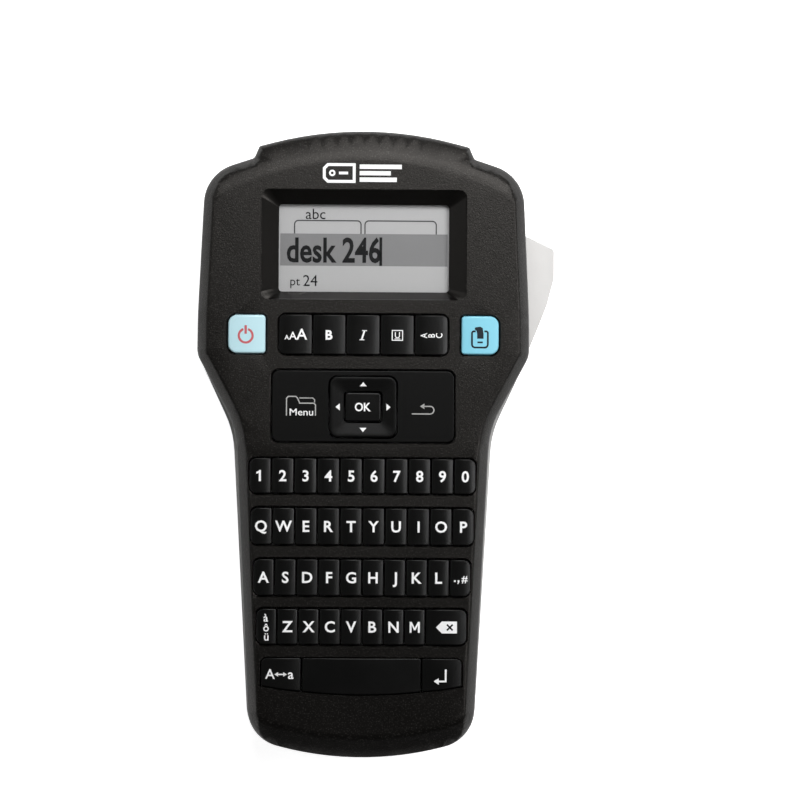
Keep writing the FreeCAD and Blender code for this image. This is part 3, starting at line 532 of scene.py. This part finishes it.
# ---------------------------------------------------------------- Power and print keys
# Two larger caps of glossy sky-blue plastic, the left one paler, which stand higher than the rest.
def glossy_blue(name, pale, deep_tone):
    """Sky-blue plastic with a soft gloss."""
    made = Finish(name)
    shade = made.mix(made.noise(0.01, 2.0), pale, deep_tone)
    ripple = made.relief(made.noise(0.0003), 0.00001, 0.3)
    return made.plastic(shade, 0.34, Specular_IOR_Level=0.4, Normal=ripple)


pale_blue = glossy_blue("pale_blue_cap", (0.455, 0.68, 0.74), (0.495, 0.71, 0.77))
sky_blue = glossy_blue("sky_blue_cap", (0.215, 0.56, 0.70), (0.235, 0.60, 0.74))
smooth_copy("power_key", "cap", pale_blue, 20.0)
smooth_copy("print_key", "cap", sky_blue, 20.0)


# ---------------------------------------------------------------- Legends of the letter and number rows
# Tampo-printed white capitals and numerals. The ink lies on the crowned caps, so each shape is first cut
# into narrow strips that can bend with them.
def sliced(flat, step=0.3):
    """A flat shape cut along X every step millimetres, so that it can follow a curved top."""
    mesh = bmesh.new()
    corners_made = [mesh.verts.new((x, y, 0)) for x, y in flat[0]]
    for triangle in flat[1]:
        if len(set(map(int, triangle))) == 3:
            try:
                mesh.faces.new([corners_made[i] for i in triangle])
            except ValueError:
                continue
    bmesh.ops.remove_doubles(mesh, verts=mesh.verts, dist=1e-4)
    low, high = flat[0][:, 0].min(), flat[0][:, 0].max()
    for x in np.arange(math.ceil(low / step) * step, high, step):
        everything = [*mesh.verts, *mesh.edges, *mesh.faces]
        bmesh.ops.bisect_plane(mesh, geom=everything, plane_co=(x, 0, 0), plane_no=(1, 0, 0), dist=1e-5)
    bmesh.ops.triangulate(mesh, faces=mesh.faces)
    mesh.verts.index_update()
    points = np.array([v.co[:2] for v in mesh.verts])
    triangles = np.array([[v.index for v in f.verts] for f in mesh.faces])
    mesh.free()
    a, b, c = (points[triangles[:, k]] for k in range(3))
    turned = (b - a)[:, 0] * (c - a)[:, 1] - (b - a)[:, 1] * (c - a)[:, 0] < 0
    triangles[turned] = triangles[turned][:, ::-1]
    return points, triangles


def crowned(middle, top, radius):
    """Upper face of a cap: an arc of that radius across X, highest at its middle."""
    return lambda x, y: top - radius + np.sqrt(radius ** 2 - (x - middle) ** 2)


def rounded_row(centres, top, radius):
    """Upper faces of a row of equal caps: each point takes the arc of the nearest centre."""
    centres = np.array(centres)

    def surface(x, y):
        nearest = centres[np.abs(np.asarray(x)[:, None] - centres).argmin(1)]
        return top - radius + np.sqrt(radius ** 2 - (x - nearest) ** 2)

    return surface


def extent(node):
    """A node's lowest and highest corner in millimetres."""
    return [np.array(corner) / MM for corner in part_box(node)]


KEY_GAP = 0.35
LETTER_CROWN = 9.0
BACKSPACE_CROWN = 22.0
SHIFT_CROWN = 24.0
LEGEND_CAP = 3.45
white_ink = ink("white_tampo_ink", (0.90, 0.90, 0.90))


def row_centres(half, places, chosen):
    """Middles of the chosen places of a row of equal places."""
    pitch = 2 * half / places
    return [-half + (i + 0.5) * pitch for i in chosen]


def legend(name, node, flats, radius=None, material=white_ink, centres=None, slot="black_key"):
    """Prints flat shapes on a cap's crowned top, or on a flat one where no radius is given."""
    low, high = extent(node)
    top = high[2]
    if radius is None:
        surface = flat_at(top)
    elif centres is not None:
        surface = rounded_row(centres, top, radius)
    else:
        surface = crowned((low[0] + high[0]) / 2, top, radius)
    if radius is not None:
        flats = [sliced(flat) for flat in flats]
    return raised(name, flats, surface, material, slot, frame["nodes"][node]["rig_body"], 0.015, 0.12)


def middle_y(node):
    """Height on the face of a row's middle."""
    low, high = extent(node)
    return (low[1] + high[1]) / 2


M_RIGHT = [(0.26, -0.95), (1.02, 0.75), (1.02, -1.78), (1.68, -1.78), (1.68, 1.78), (1.0, 1.78), (0.0, -0.18)]
LETTER_M = np.array([(x, y) for x, y in M_RIGHT] + [(-x, y) for x, y in M_RIGHT[-2::-1]])
digit_half = extent("digit_0_key")[1][0] + KEY_GAP
for i, x in enumerate(row_centres(digit_half, 10, range(10))):
    node = digit_names[i]
    y = middle_y(node)
    flats = [lettering(str((i + 1) % 10), LEGEND_CAP, x, y, 0.022)]
    if i == 0:
        flats.append(filled(np.array([(-0.1, 1.72), (-1.15, 1.2), (-1.15, 0.55), (-0.1, 0.95)]) + (x, y)))
    legend(f"digit_{(i + 1) % 10}_legend", node, flats, LETTER_CROWN)
q_half = extent("letter_keys_q_row")[1][0] + KEY_GAP
a_half = extent("punctuation_key")[1][0] + KEY_GAP
z_half = extent("backspace_key")[1][0] + KEY_GAP
for node, half, letters, chosen in (("letter_keys_q_row", q_half, "QWERTYUIOP", range(10)),
                                    ("letter_keys_a_row", a_half, "ASDFGHJKL", range(9)),
                                    ("letter_keys_z_row", z_half, "ZXCVBNM", range(1, 8))):
    middles = row_centres(half, 10, chosen)
    y = middle_y(node)
    flats = [lettering(letter, LEGEND_CAP, x, y, 0.022)
             for letter, x in zip(letters, middles) if letter != "M"]
    if "M" in letters:
        flats.append(filled(LETTER_M + (middles[letters.index("M")], y)))
    legend(node.replace("letter_keys", "legends"), node, flats, LETTER_CROWN, centres=middles)


# ---------------------------------------------------------------- Legends of the other keys
# Printed in the same white ink: punctuation, accents, erase, capitals, new line, and the five format keys.
def ring_arc(x, y, radius, width, start, end):
    """Flat part of a ring."""
    return stroke(arc_points(x, y, radius, start, end, 40), width)


x, y = row_centres(a_half, 10, [9])[0], middle_y("punctuation_key")
legend("punctuation_legend", "punctuation_key",
       [rectangle(x - 2.15, x - 1.55, y - 1.25, y - 0.65), rectangle(x - 0.95, x - 0.35, y - 1.25, y - 0.65),
        stroke([(x - 0.5, y - 1.1), (x - 0.95, y - 1.9)], 0.35),
        lettering("#", 2.3, x + 1.35, y - 0.2, 0.01)], LETTER_CROWN)
x, y = row_centres(z_half, 10, [0])[0], middle_y("accent_key")
legend("accent_legend", "accent_key",
       [lettering("à", 2.5, x - 0.1, y + 2.9, 0.012), lettering("ô", 2.5, x, y - 0.3, 0.012),
        lettering("ü", 2.5, x + 0.1, y - 3.3, 0.012)], LETTER_CROWN)
x, y = row_centres(z_half, 10, [8, 9]), middle_y("backspace_key")
x = sum(x) / 2
legend("backspace_legend", "backspace_key",
       [filled([(x - 3.5, y), (x - 1.55, y - 1.95), (x + 3.4, y - 1.95), (x + 3.4, y + 1.95),
                (x - 1.55, y + 1.95)])], BACKSPACE_CROWN)
black_ink = ink("black_ink", (0.006, 0.006, 0.006))
cross = [sliced(stroke([(x + 1.05 - s * 0.95, y - 0.95), (x + 1.05 + s * 0.95, y + 0.95)], 0.55))
         for s in (-1, 1)]
raised("backspace_cross", cross, crowned(x, extent("backspace_key")[1][2], BACKSPACE_CROWN), black_ink,
       "black_key", "backspace_key", 0.03, 0.1)

low, high = extent("caps_key")
x, y = (low[0] + high[0]) / 2 - 0.3, -75.2
legend("caps_legend", "caps_key",
       [lettering("A", 3.1, x - 3.2, y, 0.012), lettering("a", 3.1, x + 3.6, y, 0.012),
        stroke([(x - 1.3, y - 0.1), (x + 2.0, y - 0.1)], 0.42),
        filled([(x - 1.75, y - 0.1), (x - 0.55, y - 0.85), (x - 0.55, y + 0.65)]),
        filled([(x + 2.35, y - 0.1), (x + 1.15, y + 0.65), (x + 1.15, y - 0.85)])], SHIFT_CROWN)
low, high = extent("enter_key")
x, y = 25.9, -76.0
legend("enter_legend", "enter_key",
       [stroke([(x + 1.75, y + 2.6), (x + 1.75, y - 1.35), (x - 0.9, y - 1.35)], 0.6),
        filled([(x - 2.2, y - 1.35), (x - 0.5, y - 2.45), (x - 0.5, y - 0.25)])], SHIFT_CROWN)

FORMAT_CROWN = 16.0
FORMAT_BASE = 34.45
x = extent("size_key")[0][0] + 6.4
legend("size_legend", "size_key",
       [lettering("A", cap, x + shift, FORMAT_BASE + cap / 2, weight)
        for cap, shift, weight in ((1.45, -3.9, 0.014), (2.5, -1.9, 0.012), (3.5, 1.0, 0.012))], FORMAT_CROWN)
x, y = sum(extent("bold_key"))[0] / 2, 36.0
legend("bold_legend", "bold_key", [lettering("B", 2.9, x - 0.1, y, 0.032)], FORMAT_CROWN)
x = sum(extent("italic_key"))[0] / 2
legend("italic_legend", "italic_key",
       [stroke([(x - 0.55, y - 1.55), (x + 0.45, y + 1.55)], 0.55),
        stroke([(x - 1.2, y - 1.5), (x + 0.35, y - 1.5)], 0.3),
        stroke([(x - 0.35, y + 1.5), (x + 1.2, y + 1.5)], 0.3)], FORMAT_CROWN)
x = sum(extent("border_key"))[0] / 2
legend("border_legend", "border_key",
       [stroke([(x - 1.7, y - 1.6), (x - 1.7, y + 1.6), (x + 1.7, y + 1.6), (x + 1.7, y - 1.6)], 0.3, True),
        lettering("U", 1.9, x, y + 0.1, 0.006), stroke([(x - 0.9, y - 1.15), (x + 0.9, y - 1.15)], 0.24)],
       FORMAT_CROWN)
x = sum(extent("symbol_key"))[0] / 2
legend("symbol_legend", "symbol_key",
       [lettering(letter, 2.1, x + shift, y, 0.01, 0.8, math.pi / 2)
        for letter, shift in zip("ABC", (-2.5, 0.0, 2.5))],
       FORMAT_CROWN)


# ---------------------------------------------------------------- Legends of the power and print keys
# A red standby sign on the left cap, and on the right one a dark outline of the label maker with a label
# coming out of it.
BLUE_CROWN = 30.0
red_ink = ink("red_ink", (0.52, 0.115, 0.13))
navy_ink = ink("navy_ink", (0.012, 0.018, 0.024))
x, y = sum(extent("power_key"))[0] / 2 - 0.35, 35.6
legend("power_legend", "power_key",
       [ring_arc(x, y, 2.25, 0.75, 110, 430), rectangle(x - 0.4, x + 0.4, y + 0.6, y + 3.4)],
       BLUE_CROWN, red_ink, slot="blue_key")
x, y = sum(extent("print_key"))[0] / 2 - 0.1, 35.2
tray_line = [(x - 1.4, y + 2.3), *arc_points(x - 2.0, y + 1.7, 0.6, 90, 180, 5),
             *arc_points(x - 1.6, y - 2.0, 1.0, 180, 270, 6), *arc_points(x + 1.6, y - 2.0, 1.0, 270, 360, 6),
             *arc_points(x + 2.0, y + 1.7, 0.6, 0, 90, 5), (x + 1.4, y + 2.3)]
strip = [(x - 1.5, y + 3.6), (x + 0.1, y + 3.85), (x + 0.9, y + 3.3), (x + 1.2, y + 1.4),
         (x + 1.2, y - 0.1), (x - 0.9, y - 0.1), (x - 0.9, y + 1.5), (x - 1.15, y + 2.5), (x - 1.8, y + 3.0)]
legend("print_legend", "print_key",
       [stroke(tray_line, 0.6), filled(strip), stroke([(x - 0.8, y - 1.3), (x + 0.95, y - 1.3)], 0.55)],
       BLUE_CROWN, navy_ink, slot="blue_key")


# ---------------------------------------------------------------- Legends of the menu, back and arrow keys
# The flush rocker carries a folder with its word and a turn-back arrow; the dished ring has four arrowheads
# and the middle key its OK.
x, y = -20.2, 12.6
folder = [(x - 4.9, y - 3.1), (x - 4.9, y + 2.6), (x - 4.3, y + 3.2), (x - 1.9, y + 3.2),
          (x - 1.3, y + 2.7), (x - 0.6, y + 1.0), (x + 4.0, y + 1.0), (x + 4.6, y + 0.5), (x + 4.6, y - 3.1)]
sheet = [(x - 0.7, y + 2.7), (x + 3.7, y + 2.7), (x + 4.3, y + 2.1), (x + 4.3, y + 1.2)]
grey_ink = ink("soft_white_ink", (0.42, 0.42, 0.41))
rocker_top = extent("menu_back_rocker")[1][2]
menu = [stroke(folder, 0.36), stroke(sheet, 0.3)]
raised("menu_legend", menu, flat_at(rocker_top), grey_ink, "black_key", "menu_back_rocker", 0.015, 0.12)
raised("menu_word", [lettering("Menu", 2.2, x, y - 1.9, 0.006, 1.12)], flat_at(rocker_top), white_ink,
       "black_key", "menu_back_rocker", 0.015, 0.12)
x, y = 20.2, 12.6
back = [(x - 4.2, y - 2.3), (x + 1.8, y - 2.3), *arc_points(x + 1.8, y - 1.05, 1.25, -90, 90, 9),
        (x - 0.6, y + 0.2)]
back_head = [(x - 1.5, y + 0.2), (x - 0.1, y - 0.7), (x - 0.1, y + 1.1)]
raised("back_legend", [stroke(back, 0.36), filled(back_head)],
       flat_at(rocker_top), grey_ink, "black_key", "menu_back_rocker", 0.015, 0.12)

ring_low, ring_high = extent("nav_ring")
ring_middle = (ring_low + ring_high)[:2] / 2
OK_HOLE = np.array((6.4, 5.3))
DISH = np.array((10.0, 9.0))
DISH_LOW, DISH_HIGH = 46.7, 47.3


def dished(x, y):
    """The ring's upper face: its height rises evenly from the hole to the rim on whichever side is nearer."""
    out = np.abs(np.column_stack([x, y]) - ring_middle)
    share = ((out - OK_HOLE) / (DISH - OK_HOLE)).max(1)
    return DISH_LOW + np.clip(share, 0, 1) * (DISH_HIGH - DISH_LOW)


head = np.array([(-1.15, -0.55), (1.15, -0.55), (0.0, 0.85)])
arrows = []
for quarter, reach in ((0, 7.35), (1, 8.2), (2, 7.35), (3, 8.2)):
    c, s = math.cos(quarter * math.pi / 2), math.sin(quarter * math.pi / 2)
    arrows.append(sliced(filled((head + (0, reach)) @ np.array([(c, s), (-s, c)]) + ring_middle)))
raised("ring_arrows", arrows, dished, white_ink, "black_key", "nav_ring", 0.02, 0.12)
legend("ok_legend", "ok_key", [lettering("OK", 2.62, ring_middle[0] - 0.1, ring_middle[1], 0.022, 0.9)])


# ---------------------------------------------------------------- Mark on the hood
# A plain pictogram of a label with a punched end and three bars for its writing, printed in white where a
# maker would put a name.
y0, y1 = 86.4, 91.9
tag = [(-13.2, y0 + 1.2), (-12.0, y0), (-3.4, y0), (-3.4, y1), (-12.0, y1), (-13.2, y1 - 1.2)]
mark = [stroke(tag, 0.95, True), ring_arc(-10.6, (y0 + y1) / 2, 0.75, 0.6, 0, 359.9),
        stroke([(-8.4, (y0 + y1) / 2), (-5.4, (y0 + y1) / 2)], 0.9),
        rectangle(-1.6, 12.2, y1 - 1.35, y1 + 0.1), rectangle(-1.6, 8.6, y0 + 2.05, y0 + 3.45),
        rectangle(-1.6, 10.6, y0 - 0.1, y0 + 1.35)]
raised("hood_mark", mark, flat_at(extent("front_shell")[1][2]), white_ink, "black_shell", "root", 0.02, 0.15)


# ---------------------------------------------------------------- Cutter lever
# Pale satin ABS paddle on the right side; squeezing it sends the blade across the label.
paddle = Finish("pale_satin_abs")
wear = paddle.noise(0.012, 3.0)
lever_plastic = paddle.plastic(paddle.mix(wear, (0.60, 0.59, 0.58), (0.64, 0.63, 0.62)), 0.42 + wear * 0.1,
                               Specular_IOR_Level=0.4,
                               Normal=paddle.relief(paddle.noise(0.0005), 0.00002, 0.4))
smooth_copy("cutter_lever", "moulding", lever_plastic)


# ---------------------------------------------------------------- Cutter and spring
# A bevelled steel blade in a sliding acetal carrier, and the coil spring that sends the lever back.
bright = Finish("bright_steel")
hone = bright.noise(0.0004, 2.0, (0.15, 1.0, 1.0))
bright_colour = bright.mix(hone, (0.55, 0.56, 0.57), (0.68, 0.69, 0.70))
bright_steel = bright.plastic(bright_colour, 0.18 + hone * 0.15, Metallic=1.0)
for node in ("cutter_blade", "lever_spring", "print_head"):
    smooth_copy(node, "metal", bright_steel)


# ---------------------------------------------------------------- Gears, rollers, carrier and mechanism plate
# Natural white acetal gears and a pale moulded chassis; the platen has a dark rubber sleeve.
acetal = Finish("white_acetal")
haze = acetal.noise(0.003, 2.0)
white_acetal = acetal.plastic(acetal.mix(haze, (0.72, 0.72, 0.69), (0.78, 0.78, 0.75)), 0.36 + haze * 0.08)
for node in ("platen_gear", "idler_gear", "motor_pinion", "ribbon_spindle", "cutter_carrier",
             "mechanism_frame", "tape_reel"):
    smooth_copy(node, "moulding", white_acetal)
sleeve = Finish("black_rubber_sleeve")
ground = sleeve.noise(0.0006, 3.0, (1.0, 1.0, 0.2))
sleeve_colour = sleeve.mix(ground, (0.018, 0.018, 0.018), (0.034, 0.034, 0.034))
smooth_copy("platen_roller", "sleeve", sleeve.plastic(sleeve_colour, 0.66 + ground * 0.12))


# ---------------------------------------------------------------- Motor
# A small can motor in drawn and plated steel.
can = Finish("drawn_motor_can")
drawn = can.noise(0.0009, 3.0, (1.0, 1.0, 0.1))
can_colour = can.mix(drawn, (0.42, 0.42, 0.43), (0.56, 0.56, 0.57))
smooth_copy("drive_motor", "can", can.plastic(can_colour, 0.28 + drawn * 0.18, Metallic=1.0))


# ---------------------------------------------------------------- Cells
# Six cells in printed sleeves: pale green with a darker end band and bare metal at both ends.
wrap = Finish("printed_cell_sleeve")
out = abs(wrap.axis("X"))
band = wrap.ramp(out, 0.0130, 0.0132)
metal_end = wrap.ramp(out, 0.0212, 0.0214)
wrap_colour = wrap.mix(metal_end, wrap.mix(band, (0.30, 0.52, 0.36), (0.03, 0.12, 0.08)), (0.60, 0.60, 0.60))
smooth_copy("battery_cells", "sleeves", wrap.plastic(wrap_colour, 0.3, Metallic=metal_end))


# ---------------------------------------------------------------- Label cassette and its tape
# A sealed off-white cassette, and the white tape that leaves it past the print head.
body_finish = Finish("off_white_cassette")
cassette_haze = body_finish.noise(0.008, 3.0)
cassette_colour = body_finish.mix(cassette_haze, (0.52, 0.53, 0.54), (0.58, 0.585, 0.59))
cassette_plastic = body_finish.plastic(cassette_colour, 0.4 + cassette_haze * 0.08)
smooth_copy("label_cassette", "moulding", cassette_plastic)
paper = Finish("white_tape")
fibre = paper.noise(0.0005, 3.0)
white_tape = paper.plastic(paper.mix(fibre, (0.83, 0.83, 0.82), (0.88, 0.88, 0.87)), 0.55)
smooth_copy("label_tape", "strip", white_tape)
